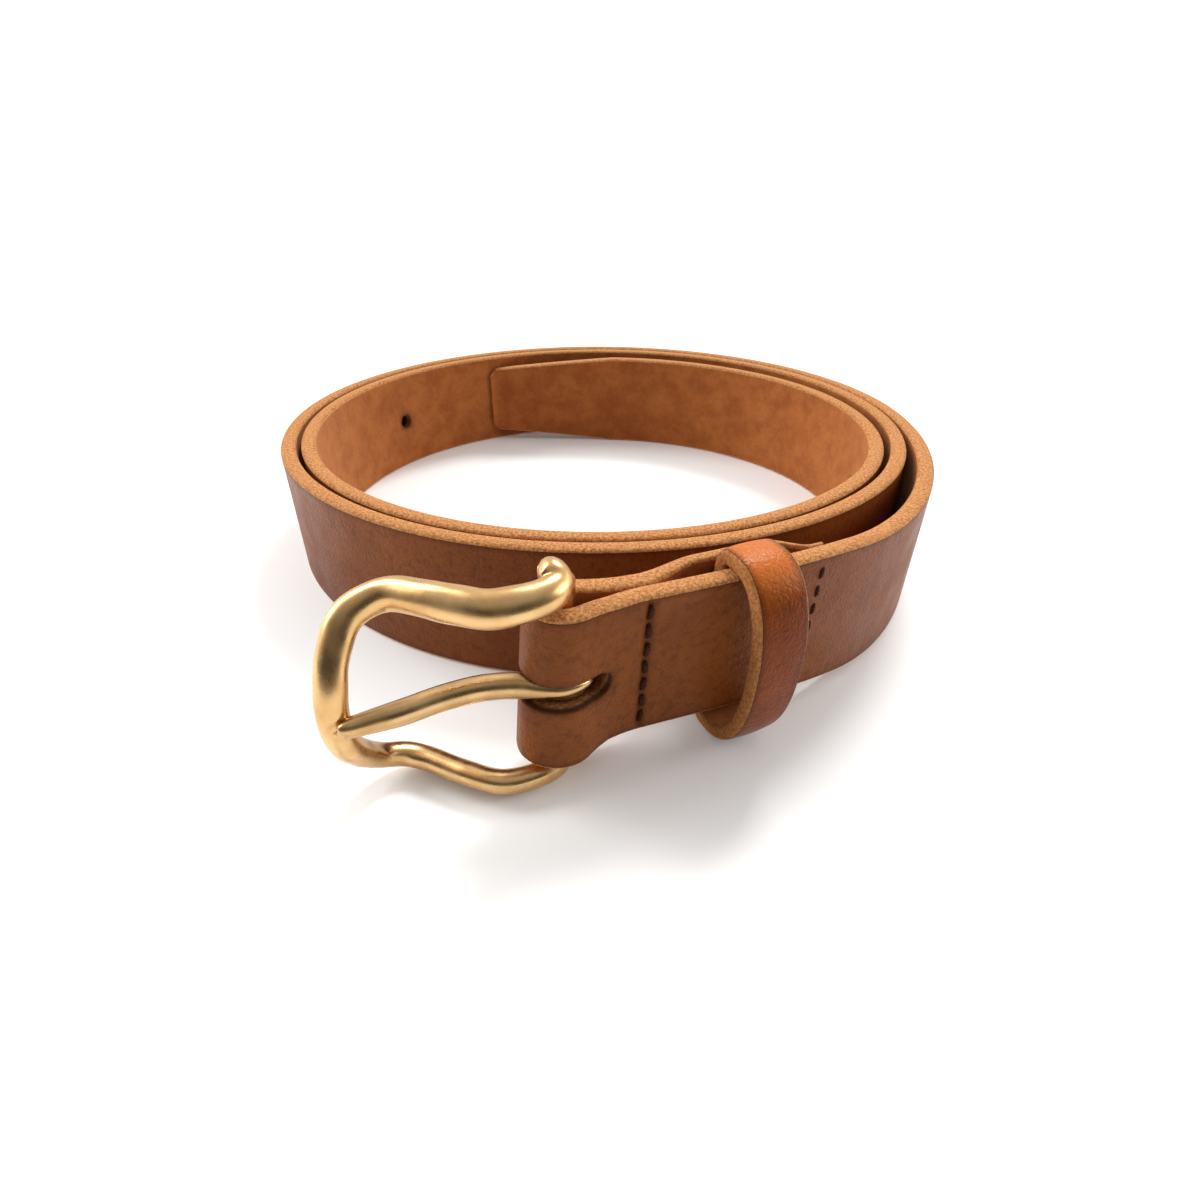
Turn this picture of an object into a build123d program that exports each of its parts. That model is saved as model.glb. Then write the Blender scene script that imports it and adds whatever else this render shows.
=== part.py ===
from build123d import *
import math
import os

# Coiled leather belt with a horseshoe buckle, standing on the edge of its strap.
# Millimetres, +Z up. The buckle faces -Y, the strap winds clockwise seen from above.

# ---- strap -------------------------------------------------------------
WIDTH = 30.0
THICK = 3.6
TIP_WIDTH = 22.0
TIP_TAPER = 44.0
TIP_CORNER = 2.0
HOLE_R = 2.1
HOLE_STATIONS = [165.0, 190.0, 215.0, 240.0, 265.0, 416.0]

# ---- coil: the path starts at the tip, each arc is (radius, end angle) ---
TIP_POINT = (-36.0, 247.0)
START_ANGLE = -3.6
TIP_ARC = (280.0, 6.0)
COIL_ARCS = [
    (74.2, 45.0),
    (64.5, 135.0),
    (77.0, 225.0),
    (72.0, 315.0),
    (79.5, 405.0),
    (74.0, 495.0),
    (82.0, 585.0),
    (76.5, 675.0),
    (84.0, 765.0),
    (79.0, 810.0),
]
END_RADIUS = 101.0
LIFT_ANGLE = 835.0
END_ANGLE = 880.0
END_STRAIGHT = 24.0

# ---- buckle end: distances behind the heel bar, measured along the strap --
END_WIDTH = 29.0
LIFT = 6.32
LIFT_X = (73.0, 22.0)
FOLD_R = 4.8
PLY_HALF = 1.85
ROW_1 = 13.0
ROW_2 = 46.8
FLAP_END = 48.8
SLOT_HALF = 2.65
SLOT_END = 7.2

# ---- keeper ------------------------------------------------------------
KEEPER_AT = 31.7
KEEPER_WIDTH = 9.5
KEEPER_THICK = 2.5
KEEPER_SPACE = 6.1
KEEPER_SIDE = 15.0

# ---- stitching ---------------------------------------------------------
STITCH_PITCH = 3.7
STITCHES = 7
THREAD_R = 0.45

# ---- buckle ------------------------------------------------------------
BAR_R = 2.6
KNOB_R = 2.9
KNOB_AT = 17.9
ARM_AT = 17.8
BOW_HALF = 16.3
BOW_AT = 34.0
BOW_DEPTH = 8.44
FRAME_LEAN = 0.05
SECTION_LONG = 2.9
SECTION_SHORT = 2.2
SECTION_TILT = 40.0
TONGUE_R = 1.95
RING_FIT = 0.08
RING_WALL = 2.0


def heading(angle):
    a = math.radians(angle)
    return Vector(math.cos(a), -math.sin(a), 0)


def outward(angle):
    a = math.radians(angle)
    return Vector(math.sin(a), math.cos(a), 0)


def arc_table(first_centre, radius, start, arcs):
    """Centres of a chain of tangent arcs: (centre, radius, start, end)."""
    table = []
    centre = first_centre
    for new_radius, end in arcs:
        centre = centre + outward(start) * (radius - new_radius)
        radius = new_radius
        table.append((centre, radius, start, end))
        start = end
    return table


def arc_edge(entry, offset):
    centre, radius, start, end = entry
    points = [centre + outward(a) * (radius + offset) for a in (start, (start + end) / 2, end)]
    return ThreePointArc(*points)


def band(table, half):
    """Closed face between the outer and inner offsets of an arc chain."""
    edges = [arc_edge(entry, half) for entry in table]
    edges += [arc_edge(entry, -half) for entry in table]
    for entry, angle in ((table[0], table[0][2]), (table[-1], table[-1][3])):
        centre, radius = entry[0], entry[1]
        edges.append(Line(centre + outward(angle) * (radius - half), centre + outward(angle) * (radius + half)))
    return make_face(edges)


half = THICK / 2
tip = Vector(TIP_POINT[0], TIP_POINT[1], 0)
tip_centre = tip - outward(START_ANGLE) * TIP_ARC[0]
coil = arc_table(tip_centre, TIP_ARC[0], START_ANGLE, [TIP_ARC] + COIL_ARCS + [(END_RADIUS, END_ANGLE)])

tip_entry = coil[0]
end_centre = coil[-1][0]
lift_entry = (end_centre, END_RADIUS, 810.0, LIFT_ANGLE)
end_entry = (end_centre, END_RADIUS, LIFT_ANGLE, END_ANGLE)

# Heel bar axis: the fold is symmetric about it, so the front ply lies PLY_HALF in front.
back = heading(END_ANGLE) * -1
front = outward(END_ANGLE)
arc_foot = end_centre + front * END_RADIUS
bar = arc_foot - back * END_STRAIGHT - front * PLY_HALF
BAR_Z = LIFT + END_WIDTH / 2
bar_plane = Plane(origin=(bar.X, bar.Y, BAR_Z), x_dir=back, z_dir=front)


def station(u, offset=0.0):
    """Point on the front ply, u behind the bar, offset outward of its middle."""
    if u <= END_STRAIGHT:
        return arc_foot - back * (END_STRAIGHT - u) + front * offset
    angle = END_ANGLE - math.degrees((u - END_STRAIGHT) / END_RADIUS)
    return end_centre + outward(angle) * (END_RADIUS + offset)


def station_angle(u):
    return END_ANGLE - math.degrees(max(u - END_STRAIGHT, 0.0) / END_RADIUS)


def station_plane(u, height):
    p = station(u)
    a = station_angle(u)
    return Plane(origin=(p.X, p.Y, height), x_dir=heading(a) * -1, z_dir=outward(a))


def rise_at(x, rise):
    """Climb of an edge at x: two equal tangent arcs between the LIFT_X ends, rise in all."""
    x0, x1 = LIFT_X
    span = x0 - x1
    radius = (span * span / 4 + rise * rise / 4) / rise
    d = min(max(x0 - x, 0.0), span)
    if d < span / 2:
        return radius - math.sqrt(radius * radius - d * d)
    d = span - d
    return rise - radius + math.sqrt(radius * radius - d * d)


TOP_RISE = LIFT + END_WIDTH - WIDTH


def middle_at(u):
    """Height of the front ply's middle, u behind the bar."""
    x = station(u).X
    return (rise_at(x, LIFT) + WIDTH + rise_at(x, TOP_RISE)) / 2


# ---- strap: coil, tip and buckle end -------------------------------------
coil_body = extrude(band(coil[1:-1] + [lift_entry], half), WIDTH, dir=(0, 0, 1))

tip_body = extrude(band([tip_entry], half), WIDTH, dir=(0, 0, 1))
margin = (WIDTH - TIP_WIDTH) / 2
x_tip = TIP_POINT[0]
x_full = x_tip + TIP_TAPER
tip_shape = make_face(
    Polyline(
        (x_tip, 0, margin),
        (x_full, 0, 0),
        (x_full + 20, 0, 0),
        (x_full + 20, 0, WIDTH),
        (x_full, 0, WIDTH),
        (x_tip, 0, WIDTH - margin),
        close=True,
    )
)
tip_prism = extrude(tip_shape, 400, dir=(0, 1, 0))
tip_ends = [e for e in tip_prism.edges().filter_by(Axis.Y) if e.center().X < x_tip + 1]
tip_prism = fillet(tip_ends, TIP_CORNER)
tip_body = tip_body & tip_prism

# Fold outline in the bar frame: circle round the bar, then two hollow arcs to row 1.
hollow_r = (ROW_1**2 + PLY_HALF**2 - FOLD_R**2) / (2 * (FOLD_R - PLY_HALF))
hollow_at = PLY_HALF + hollow_r
hollow_len = math.hypot(ROW_1, hollow_at)


def bar_point(x, c):
    p = bar + back * x + front * c
    return (p.X, p.Y)


def fold_edges(offset):
    """Fold outline from the front ply at row 1, round the bar, to the back ply at row 1."""
    r = FOLD_R + offset
    big = hollow_r - offset
    tx, tc = ROW_1 * r / hollow_len, hollow_at * r / hollow_len
    mid = math.atan2(ROW_1, hollow_at) / 2
    mx, mc = ROW_1 - big * math.sin(mid), hollow_at - big * math.cos(mid)
    end_c = hollow_at - big
    return [
        ThreePointArc(bar_point(ROW_1, end_c), bar_point(mx, mc), bar_point(tx, tc)),
        ThreePointArc(bar_point(tx, tc), bar_point(-r, 0), bar_point(tx, -tc)),
        ThreePointArc(bar_point(tx, -tc), bar_point(mx, -mc), bar_point(ROW_1, -end_c)),
    ]


def flat(u, offset):
    p = station(u, offset)
    return (p.X, p.Y)


def flap_edges(offsets):
    """One face of the flap: past the keeper and back against the front ply."""
    edges = []
    marks = [ROW_1, 26.0, 40.5, 45.6, FLAP_END]
    for i in range(4):
        u0, u1 = marks[i], marks[i + 1]
        t0 = heading(station_angle(u0)) * -1
        t1 = heading(station_angle(u1)) * -1
        ends = [flat(u0, -offsets[i]), flat(u1, -offsets[i + 1])]
        edges.append(Spline(ends, tangents=[(t0.X, t0.Y), (t1.X, t1.Y)]))
    return edges


ply_inner = 2 * PLY_HALF - half
flap_inner = [ply_inner, 5.4, 5.4, 1.9, 1.9]
flap_outer = [ply_inner + THICK, 7.8, 7.2, 3.1, 2.9]
end_edges = [arc_edge(end_entry, half), arc_edge(end_entry, -half)]
start_out = end_centre + outward(LIFT_ANGLE) * (END_RADIUS + half)
start_in = end_centre + outward(LIFT_ANGLE) * (END_RADIUS - half)
end_edges.append(Line((start_out.X, start_out.Y), (start_in.X, start_in.Y)))
end_edges.append(Line(flat(END_STRAIGHT, half), flat(ROW_1, half)))
end_edges.append(Line(flat(END_STRAIGHT, -half), flat(ROW_1, -half)))
end_edges += fold_edges(half)
end_edges += fold_edges(-half)
end_edges += flap_edges(flap_inner)
end_edges += flap_edges(flap_outer)
end_edges.append(Line(flat(FLAP_END, -flap_inner[-1]), flat(FLAP_END, -flap_outer[-1])))
end_body = extrude(make_face(end_edges), WIDTH + LIFT + 5, dir=(0, 0, 1))

x0, x1 = LIFT_X
xm = (x0 + x1) / 2
xq = ((x0 + xm) / 2, (xm + x1) / 2)
ramp = []
for level, rise in ((0.0, LIFT), (WIDTH, TOP_RISE)):
    ramp.append(Line((100, 0, level), (x0, 0, level)))
    for xa, xb, xc in ((x0, xq[0], xm), (xm, xq[1], x1)):
        ends = [(x, 0, level + rise_at(x, rise)) for x in (xa, xb, xc)]
        ramp.append(ThreePointArc(*ends))
    ramp.append(Line((x1, 0, level + rise), (-40, 0, level + rise)))
ramp.append(Line((100, 0, 0), (100, 0, WIDTH)))
ramp.append(Line((-40, 0, LIFT), (-40, 0, WIDTH + TOP_RISE)))
ramp_prism = extrude(make_face(ramp), 400, dir=(0, 1, 0))
end_body = end_body & ramp_prism

strap = coil_body + tip_body + end_body

# Tongue slot through the fold, rounded on the ply side.
slot_arm = SLOT_END - SLOT_HALF
slot_cut = Pos(slot_arm, 0, 0) * Cylinder(SLOT_HALF, 20) + Pos(slot_arm - 10, 0, 0) * Box(20, 2 * SLOT_HALF, 20)
strap -= bar_plane * slot_cut

# Adjusting holes.
for distance in HOLE_STATIONS:
    left = distance
    for entry in coil:
        span = math.radians(entry[3] - entry[2]) * entry[1]
        if left <= span:
            angle = entry[2] + math.degrees(left / entry[1])
            p = entry[0] + outward(angle) * entry[1]
            plane = Plane(origin=(p.X, p.Y, WIDTH / 2), x_dir=heading(angle), z_dir=outward(angle))
            strap -= plane * Cylinder(HOLE_R, THICK + 0.3)
            break
        left -= span


# ---- stitching: a locked row of thread passing through both plies ----------
def thread_row(front_face, back_face, radius):
    row = None
    length = STITCH_PITCH * STITCHES
    for face in (front_face, back_face):
        bar_line = Pos(0, 0, face) * Rot(90, 0, 0) * Cylinder(radius, length)
        row = bar_line if row is None else row + bar_line
    for i in range(STITCHES + 1):
        y = (i - STITCHES / 2) * STITCH_PITCH
        row += Pos(0, y, (front_face + back_face) / 2) * Cylinder(radius, front_face - back_face)
    return row


row_1_plane = station_plane(ROW_1, BAR_Z)
row_1_faces = (half - 0.15, -(flap_outer[0] - 0.15))
row_2_plane = station_plane(ROW_2, middle_at(ROW_2))
row_2_faces = (half - 0.15, -(flap_outer[-1] - 0.1))
front_stitching = row_1_plane * thread_row(*row_1_faces, THREAD_R)
rear_stitching = row_2_plane * thread_row(*row_2_faces, THREAD_R)
strap -= row_1_plane * thread_row(*row_1_faces, THREAD_R + 0.05)
strap -= row_2_plane * thread_row(*row_2_faces, THREAD_R + 0.05)

# ---- keeper: a closed loop of leather strip round the front ply -------------
keeper_plane = station_plane(KEEPER_AT, middle_at(KEEPER_AT))
back_face = -half - 0.35
front_face = half + KEEPER_SPACE


def loop_outline(grow, back_corner, front_corner):
    side = KEEPER_SIDE + grow
    low = back_face - grow
    high = front_face + grow
    rect = Polyline((-side, low), (side, low), (side, high), (-side, high), close=True)
    face = make_face(rect)
    face = fillet(face.vertices().filter_by(lambda v: v.Y < 0), back_corner)
    return fillet(face.vertices().filter_by(lambda v: v.Y > 0), front_corner)


keeper_face = loop_outline(KEEPER_THICK, 1.6, 6.8) - loop_outline(0.0, 0.4, 4.2)
keeper_face -= Pos(0, back_face - KEEPER_THICK / 2, 0) * Rectangle(0.3, KEEPER_THICK + 2)
loop = extrude(keeper_face, KEEPER_WIDTH / 2, both=True)
# The loop is drawn as (height, outward): turn it so that its axis runs along the strap.
turn = Plane(origin=(0, 0, 0), x_dir=(0, 1, 0), z_dir=(1, 0, 0))
keeper = keeper_plane * (turn * loop)

# Two flat-wire staples joining the butted ends of the keeper strip behind the front ply.
staple = None
crown_z = back_face - KEEPER_THICK + 0.25
for x in (-2.4, 2.4):
    pieces = [Pos(x, 0, crown_z) * Box(0.8, 7.0, 0.6)]
    pieces += [Pos(x, y, crown_z + 0.9) * Box(0.8, 0.6, 1.8) for y in (-3.2, 3.2)]
    for piece in pieces:
        staple = piece if staple is None else staple + piece
keeper_staple = keeper_plane * staple
keeper -= keeper_staple

# ---- buckle frame: horseshoe swept round the bow, closed by the heel bar -----
# (distance in front of the bar, height, outward); the lower arm mirrors the upper one
upper = [
    (0.8, ARM_AT, 1.6),
    (3.0, ARM_AT, 3.0),
    (6.0, ARM_AT, 3.9),
    (11.0, ARM_AT - 0.1, 3.5),
    (16.0, ARM_AT - 0.2, -0.2),
    (BOW_AT - BOW_DEPTH, BOW_HALF, -7.7),
]
round_bow = []
for degrees in (25, 50, 70, 90, 110, 130, 155):
    a = math.radians(degrees)
    reach = BOW_AT - BOW_DEPTH + BOW_DEPTH * math.sin(a)
    round_bow.append((reach, BOW_HALF * math.cos(a), -7.7 + 6.6 * math.sin(a) ** 3))
lower = [(reach, -height, depth) for reach, height, depth in reversed(upper)]
points = [(-reach, height, depth + FRAME_LEAN * height) for reach, height, depth in upper + round_bow + lower]
spine = Spline(points)
tilt = math.radians(SECTION_TILT)
long_dir = Vector(0, math.cos(tilt), -math.sin(tilt))
section_plane = Plane(origin=spine @ 0, x_dir=long_dir, z_dir=spine % 0)
section = section_plane * Ellipse(SECTION_LONG, SECTION_SHORT)
frame = sweep(section, path=spine)
frame += Rot(90, 0, 0) * Cylinder(BAR_R, 2 * KNOB_AT)
for side in (1, -1):
    frame += Pos(-0.6, side * KNOB_AT, 0) * Sphere(KNOB_R)

# ---- tongue: ring round the heel bar and a curved shank lying in the bow's notch ---
tongue_line = [
    (1.0, 0, 4.3),
    (-1.0, 0, 4.0),
    (-3.2, 0, 2.9),
    (-6.0, 0, 1.2),
    (-12.0, 0, -0.6),
    (-18.0, 0, -0.5),
    (-25.0, 0, 0.7),
    (-32.4, 0, 1.5),
]
shank_spine = Spline(tongue_line)
shank_start = Plane(origin=shank_spine @ 0, z_dir=shank_spine % 0)
shank = sweep(shank_start * Circle(TONGUE_R), path=shank_spine)
shank_end = Plane(origin=shank_spine @ 1, z_dir=shank_spine % 1)
shank += shank_end * Pos(0, 0, 1.0) * Cone(TONGUE_R, 1.1, 2.0)
notch_spine = Line((-29.0, 0, 1.1), (-37.0, 0, 1.9))
notch_start = Plane(origin=notch_spine @ 0, z_dir=notch_spine % 0)
frame -= sweep(notch_start * Circle(TONGUE_R + 0.35), path=notch_spine)
buckle_frame = bar_plane * frame
ring_hole = Rot(90, 0, 0) * Cylinder(BAR_R + RING_FIT, 10)
ring = Rot(90, 0, 0) * Cylinder(BAR_R + RING_FIT + RING_WALL, 4.3)
tongue = bar_plane * (shank + ring - ring_hole)

# ---- common frame: origin at the centre of the footprint, on the floor -------
nodes = {
    "strap": strap,
    "keeper": keeper,
    "keeper_staple": keeper_staple,
    "buckle_frame": buckle_frame,
    "tongue": tongue,
    "front_stitching": front_stitching,
    "rear_stitching": rear_stitching,
}
box = Compound([s for part in nodes.values() for s in part.solids()]).bounding_box()
shift = Pos(-(box.min.X + box.max.X) / 2, -(box.min.Y + box.max.Y) / 2, -box.min.Z)

os.makedirs("parts", exist_ok=True)
for name, part in nodes.items():
    placed = shift * part
    solids = placed.solids()
    bounds = placed.bounding_box()
    print(name, len(solids), "solids", round(placed.volume, 1), "mm3", bounds.min, bounds.max)
    export_step(placed, f"parts/{name}.step")
centre = shift * Pos(bar.X, bar.Y, BAR_Z)
print("heel bar axis at", centre.position, "front direction", front)
print("keeper at", (shift * Pos(*keeper_plane.origin)).position, keeper_plane.z_dir)
print("shift", shift.position)
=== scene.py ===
import math

import bpy
import numpy as np
from mathutils import Matrix, Vector


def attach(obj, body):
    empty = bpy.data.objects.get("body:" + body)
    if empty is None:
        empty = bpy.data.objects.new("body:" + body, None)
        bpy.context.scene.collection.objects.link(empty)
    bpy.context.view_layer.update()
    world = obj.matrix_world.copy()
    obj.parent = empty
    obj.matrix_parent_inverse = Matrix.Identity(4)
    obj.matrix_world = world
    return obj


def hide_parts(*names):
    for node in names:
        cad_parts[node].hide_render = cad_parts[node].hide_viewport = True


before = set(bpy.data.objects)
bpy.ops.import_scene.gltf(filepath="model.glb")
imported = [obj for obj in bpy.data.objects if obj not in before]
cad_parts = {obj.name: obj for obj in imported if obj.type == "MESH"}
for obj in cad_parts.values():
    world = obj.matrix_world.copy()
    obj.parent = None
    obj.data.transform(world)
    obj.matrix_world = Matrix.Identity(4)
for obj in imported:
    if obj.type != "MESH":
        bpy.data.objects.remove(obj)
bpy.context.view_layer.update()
MM = 0.001

# ---- driving sizes, in millimetres ---------------------------------------------
# The belt's path runs tip, coil, closing arc, straight, fold, flap; ORIGIN moves it into the common frame.
ORIGIN = np.array([-2.89373, -166.2521])
WIDTH, END_WIDTH, THICK = 30.0, 29.0, 3.6
TIP_WIDTH, TIP_TAPER, TIP_ROUND = 22.0, 44.0, 2.0
TIP_POINT, START_ANGLE = np.array([-36.0, 247.0]), -3.6
# Arcs of the coil: radius, and the heading in degrees where the arc ends.
COIL = [(280.0, 6.0), (74.2, 45.0), (64.5, 135.0), (77.0, 225.0), (72.0, 315.0), (79.5, 405.0),
        (74.0, 495.0), (82.0, 585.0), (76.5, 675.0), (84.0, 765.0), (79.0, 810.0), (101.0, 880.0)]
CLOSING_R, END_HEADING = COIL[-1]
STRAIGHT, ENDLESS_R = 24.0, 1e7
FOLD_R, PLY_HALF = 4.8, 1.85
# Places behind the heel bar: sewn rows, keeper, end of the flap. Holes are measured from the tip.
ROW_1, KEEPER_AT, ROW_2, FLAP_END = 13.0, 31.7, 45.2, 48.8
HOLES = [165.0, 190.0, 215.0, 240.0, 265.0, 416.0]
STITCH_PITCH, STITCH_COUNT = 3.7, 7
# The strap climbs by LIFT between two places along X, and leans outward by LEAN degrees near the buckle.
LIFT, LIFT_X = 6.32, (73.0, 22.0)
LEAN, LEAN_RUN = 4.5, (30.0, 60.0)
CLIMB_START = 25.0
STEP = 0.05


# ---- path of the belt ------------------------------------------------------------
def path_of_belt():
    """Walks the centre line: heading is the running sum of curvature, place the running sum of heading."""
    hollow = (ROW_1**2 + PLY_HALF**2 - FOLD_R**2) / (2 * (FOLD_R - PLY_HALF))
    turn = math.degrees(math.atan2(ROW_1, PLY_HALF + hollow))
    arcs, last = [], START_ANGLE
    for radius, end in COIL:
        arcs.append((radius, end - last))
        last = end
    arcs += [(ENDLESS_R, math.degrees((STRAIGHT - ROW_1) / ENDLESS_R)), (-hollow, -turn)]
    arcs += [(FOLD_R, 180 + 2 * turn), (-hollow, -turn)]
    bends, marks, total = [], [0.0], 0.0
    for radius, sweep in arcs:
        length = abs(math.radians(sweep) * radius)
        bends.append(np.full(int(round(length / STEP)), 1 / radius))
        total += len(bends[-1]) * STEP
        marks.append(total)
    bend = np.concatenate(bends)
    tau = math.radians(START_ANGLE) + np.concatenate([[0.0], np.cumsum(bend) * STEP])
    mid = (tau[1:] + tau[:-1]) / 2
    x = np.concatenate([[0.0], np.cumsum(np.cos(mid)) * STEP]) + TIP_POINT[0]
    y = np.concatenate([[0.0], np.cumsum(-np.sin(mid)) * STEP]) + TIP_POINT[1]
    return np.arange(len(x)) * STEP, np.stack([x, y], 1) + ORIGIN, tau, marks


S_LINE, P_LINE, TAU_LINE, MARKS = path_of_belt()
S_CLOSING, S_ARC_END, S_ROW_1, S_FOLD_END = MARKS[-6], MARKS[-5], MARKS[-4], MARKS[-1]
S_BAR = S_ROW_1 + ROW_1
S_LIFT = S_CLOSING + math.radians(CLIMB_START) * CLOSING_R
FLAP_LEN = FLAP_END - ROW_1


def smooth(t):
    """Eased step from 0 to 1."""
    t = np.clip(t, 0, 1)
    return t * t * (3 - 2 * t)


def climb_at(x):
    """Share of the climb reached at x: level on the coil, then two equal arcs up to the buckle."""
    x0, x1 = LIFT_X[0] + ORIGIN[0], LIFT_X[1] + ORIGIN[0]
    t = np.clip((x0 - x) / (x0 - x1), 0, 1)
    return np.where(t < 0.5, 2 * t * t, 1 - 2 * (1 - t) ** 2)


def ply_frame(s):
    """Place, outward direction and share of the climb of the centre line at arc length s."""
    p = np.stack([np.interp(s, S_LINE, P_LINE[:, 0]), np.interp(s, S_LINE, P_LINE[:, 1])], -1)
    tau = np.interp(s, S_LINE, TAU_LINE)
    n = np.stack([np.sin(tau), np.cos(tau)], -1)
    climb = np.where(s > S_LIFT, climb_at(p[..., 0]), 0.0)
    return p, n, climb


def belt_frame(s):
    """As ply_frame, with thickness and place behind the bar; past the fold it follows the flap.

    The flap is the front ply walked back, set off behind it by a gap that opens for the keeper
    and closes again; its leather is pared thinner along the way.
    """
    q = s - S_FOLD_END
    on_flap = q > 0
    u = ROW_1 + np.clip(q, 0, FLAP_LEN)
    p, n, climb = ply_frame(np.where(on_flap, S_BAR - u, s))
    opening = 2.9 * smooth((u - ROW_1) / 12.0)
    closing = 3.9 * smooth((u - 39.5) / 6.5)
    gap = 2 * PLY_HALF + opening - closing
    pared = 1.2 * smooth((u - ROW_1) / 12) + 1.4 * smooth((u - 36) / 10)
    p = np.where(on_flap[..., None], p - n * gap[..., None], p)
    n = np.where(on_flap[..., None], -n, n)
    thick = np.where(on_flap, THICK - pared, THICK)
    behind = np.where(on_flap, u, np.clip(S_BAR - s, -20, 2000))
    return p, n, climb, thick, behind


# ---- mesh helpers ------------------------------------------------------------------
def put_mesh(name, verts, faces, attributes=()):
    """Smooth-shaded mesh object at the origin from millimetre points, faces and named per-point numbers."""
    mesh = bpy.data.meshes.new(name)
    mesh.from_pydata([tuple(v) for v in (np.asarray(verts) * MM).tolist()], [], [list(f) for f in faces])
    for key, values in attributes:
        layer = mesh.attributes.new(key, "FLOAT", "POINT")
        layer.data.foreach_set("value", np.asarray(values, dtype=np.float32).ravel())
    mesh.polygons.foreach_set("use_smooth", [True] * len(mesh.polygons))
    mesh.update()
    obj = bpy.data.objects.new(name, mesh)
    bpy.context.scene.collection.objects.link(obj)
    return obj


def grid_faces(rows, cols, wrap_rows=False):
    """Quads of a grid of rows by cols points whose rows close on themselves; its columns may close too."""
    r = np.arange(rows if wrap_rows else rows - 1)
    i, j = np.meshgrid(r, np.arange(cols), indexing="ij")
    i2, j2 = (i + 1) % rows, (j + 1) % cols
    return np.stack([i * cols + j, i * cols + j2, i2 * cols + j2, i2 * cols + j], -1)


def end_caps(rows, cols):
    """One face over the first row of a grid and one, turned round, over the last."""
    return [list(range(cols)), list(range((rows - 1) * cols, rows * cols))[::-1]]


# ---- strap ---------------------------------------------------------------------------
# A hole lies in a square patch of fine cells: half side PATCH, cell side CELL.
CORNER, EDGE_POINTS = 0.9, 9
PATCH, CELL, HOLE_R = 4.2, 0.525, 2.1
SLOT_END, SLOT_HALF = 6.4, 2.63


def strap_rows():
    """Arc lengths of the grid's rows: 2 mm apart on the coil, finer at holes, on the flap and at the fold."""
    near_fold, far_fold, flap_tip = S_ROW_1 - 4, S_FOLD_END + 4, S_FOLD_END + FLAP_LEN
    dense = [np.arange(0, near_fold, 2.0), np.arange(near_fold, far_fold, 0.4)]
    dense += [np.arange(far_fold, flap_tip - 0.4, 1.0), [flap_tip]]
    dense += [np.arange(h - PATCH, h + PATCH + 0.1, CELL) for h in HOLES]
    rows = np.unique(np.round(np.concatenate(dense), 3))
    for h in HOLES:
        cell = (rows - h) / CELL
        stray = np.abs(cell - np.round(cell)) > 0.01
        rows = rows[~(stray & (np.abs(rows - h) < PATCH + 0.01))]
    rows[0] = 0.0
    return rows


def punch_holes(s, b, mid_s, mid_b):
    """Opens a square of cells at each hole and draws the rings of points round it into circles."""
    is_open = np.zeros((len(mid_s), mid_b.shape[1]), bool)
    dark = np.zeros_like(s)
    for h in HOLES:
        ds, db = s - h, b
        square = np.maximum(np.abs(ds), np.abs(db)) + 1e-9
        pull = square / (np.hypot(ds, db) + 1e-9)
        t = 1 - smooth((square - HOLE_R) / 2.0)
        near = square < PATCH - 0.05
        s = np.where(near, h + ds * (1 + (pull - 1) * t), s)
        b = np.where(near, db * (1 + (pull - 1) * t), b)
        is_open |= np.maximum(np.abs(mid_s - h), np.abs(mid_b)) < HOLE_R
        # Painted shade: a dark ring on the face just round each hole.
        dark = np.maximum(dark, np.exp(-(np.clip(square - HOLE_R, 0, 9) / 0.7) ** 2) * (square < 5))
    return s, b, is_open, dark


def cut_slot(s, b, rows, mid_s, mid_b):
    """Opens the tongue's slot from ply to ply round the fold; rows at its ends bow into half circles."""
    first = rows[np.abs(rows - (S_BAR - SLOT_END)).argmin()]
    last = rows[np.abs(rows - (S_FOLD_END - (ROW_1 - SLOT_END))).argmin()]
    is_open = (mid_s > first) & (mid_s < last) & (np.abs(mid_b) < SLOT_HALF)
    for end, sign in ((first, 1), (last, -1)):
        bow = 1 - np.sqrt(np.clip(1 - (b / SLOT_HALF) ** 2, 0, 1))
        t = (1 - smooth(np.abs(s - end) / 7.0)) * (1 - smooth((np.abs(b) - SLOT_HALF) / 1.5))
        s = s + sign * bow * SLOT_HALF * t
    gap = np.maximum(np.abs(b) - SLOT_HALF, np.maximum(first - s, s - last))
    # The third result is painted shade along the slot's edges.
    return s, is_open, 0.4 * np.exp(-(np.clip(gap, 0, 20) / 0.7) ** 2)


def strap_width(s):
    """Full width, tapering to the tip; the last corner is rounded."""
    w = TIP_WIDTH + (WIDTH - TIP_WIDTH) * np.clip(s / TIP_TAPER, 0, 1)
    d = np.clip(TIP_ROUND - s, 0, TIP_ROUND)
    return w - 2 * (TIP_ROUND - np.sqrt(np.clip(TIP_ROUND**2 - d * d, 0, None)))


def pressed(u, b, side):
    """Depth of the worked marks in the grain side.

    A stitch channel with needle dips at each row's holes, a creased line beside it,
    a shallow channel at the rear row, and a raised lip round the end of the slot.
    """
    to_needle = (b / STITCH_PITCH - np.round(b / STITCH_PITCH - 0.5) - 0.5) * STITCH_PITCH
    channel = 0.42 * np.exp(-((u - ROW_1) / 0.85) ** 2)
    dips = 0.35 * np.exp(-((u - ROW_1) / 0.6) ** 2) * np.exp(-(to_needle / 0.5) ** 2)
    crease = 0.25 * np.exp(-((u - ROW_1 - 3.6) / 0.5) ** 2)
    rear = 0.25 * np.exp(-((u - ROW_2) / 0.7) ** 2)
    from_slot_end = np.hypot(np.clip(u - 4.4, 0, None), b)
    lip = -0.35 * np.exp(-((from_slot_end - 3.5) / 0.7) ** 2) * smooth((u - 1.5) / 3)
    fade = smooth((WIDTH / 2 - 0.4 - np.abs(b)) / 1.0)
    return (channel + dips + crease + rear + lip) * fade * (side > 0)


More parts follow.
